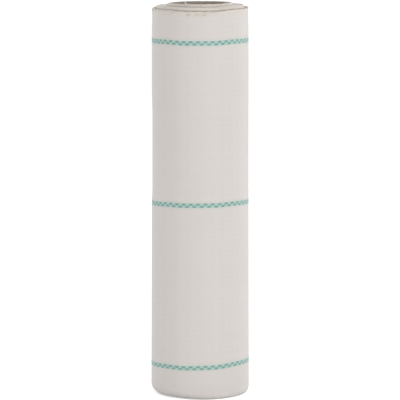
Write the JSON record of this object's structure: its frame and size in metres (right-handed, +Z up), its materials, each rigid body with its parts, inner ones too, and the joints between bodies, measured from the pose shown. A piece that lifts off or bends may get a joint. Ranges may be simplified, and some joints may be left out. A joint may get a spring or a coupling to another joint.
{
  "type": "roll of weed control fabric",
  "caption": "Roll of pale woven weed control fabric with teal marker lines, wound on a cardboard core and standing on end.",
  "frame": {"origin": "on the floor, under the axis of the core", "axes": "+Z up along the core's axis; -Y faces the camera; the web's cut free end is at the back, at +Y"},
  "size_m": [0.1275, 0.1283, 0.5099],
  "materials": {
    "woven_fabric": "satin",
    "marker_tape": "satin",
    "cardboard_core": "matte",
    "adhesive_tape": "gloss"
  },
  "bodies": {
    "root": {"core_tube": "cardboard_core", "starter_tape": "adhesive_tape", "fabric_web": "woven_fabric", "marker_tape_lower_a": "marker_tape", "marker_tape_lower_b": "marker_tape", "marker_tape_middle_a": "marker_tape", "marker_tape_middle_b": "marker_tape", "marker_tape_upper_a": "marker_tape", "marker_tape_upper_b": "marker_tape", "closure_tape_lower": "adhesive_tape", "closure_tape_upper": "adhesive_tape"}
  },
  "joints": []
}
